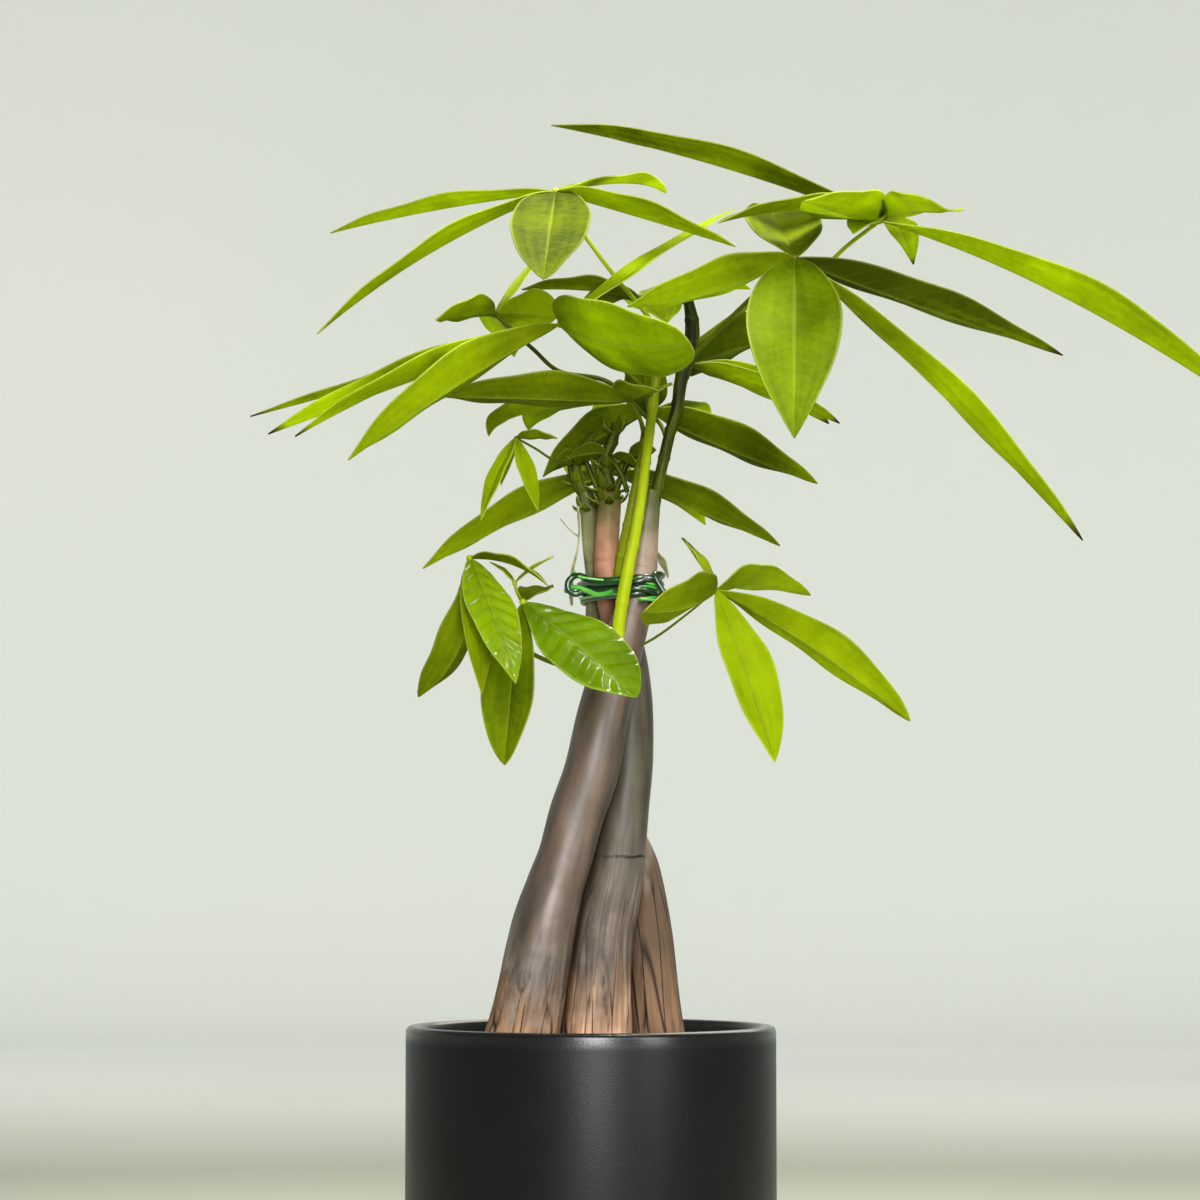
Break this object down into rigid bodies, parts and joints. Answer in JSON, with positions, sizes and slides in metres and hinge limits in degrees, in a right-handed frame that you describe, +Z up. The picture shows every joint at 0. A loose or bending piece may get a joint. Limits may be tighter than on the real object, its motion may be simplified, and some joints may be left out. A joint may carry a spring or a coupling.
{
  "type": "potted money tree",
  "caption": "Small house plant: braided bark stems tied near their tops, green shoots with palmate leaves spreading to one side, in a plain matt cylinder pot filled with soil.",
  "frame": {"origin": "centre of the pot's flat underside", "axes": "+Z up along the pot's axis, +X to the picture's right, +Y away from the camera"},
  "size_m": [0.3615, 0.2254, 0.4604],
  "materials": {
    "pot": "matt charcoal",
    "soil": "damp bark potting mix",
    "bark": "smooth bark, fissured low down",
    "tie": "green coated wire",
    "shoot": "green, soft sheen",
    "leaf": "green leaf, soft sheen",
    "glossy_leaf": "green leaf, glossy and quilted"
  },
  "bodies": {
    "root": {"pot": "pot", "soil": "soil", "stem_left": "bark", "stem_centre": "bark", "stem_right": "bark", "tie": "tie", "shoot_tall": "shoot", "shoot_front": "shoot", "shoot_inner": "shoot", "shoot_mid": "shoot", "shoot_left": "shoot", "leaf_crown_left": "leaf", "leaf_crown_right": "leaf", "leaf_front_right": "leaf", "leaf_front": "leaf", "leaf_left": "leaf", "leaf_back": "leaf", "leaf_mid_right": "leaf", "leaf_mid_left": "leaf", "leaf_small": "leaf", "leaf_side": "leaf", "leaf_right": "leaf", "leaf_low_left": "leaf", "leaf_low_right": "leaf", "leaf_glossy": "glossy_leaf"}
  },
  "joints": []
}
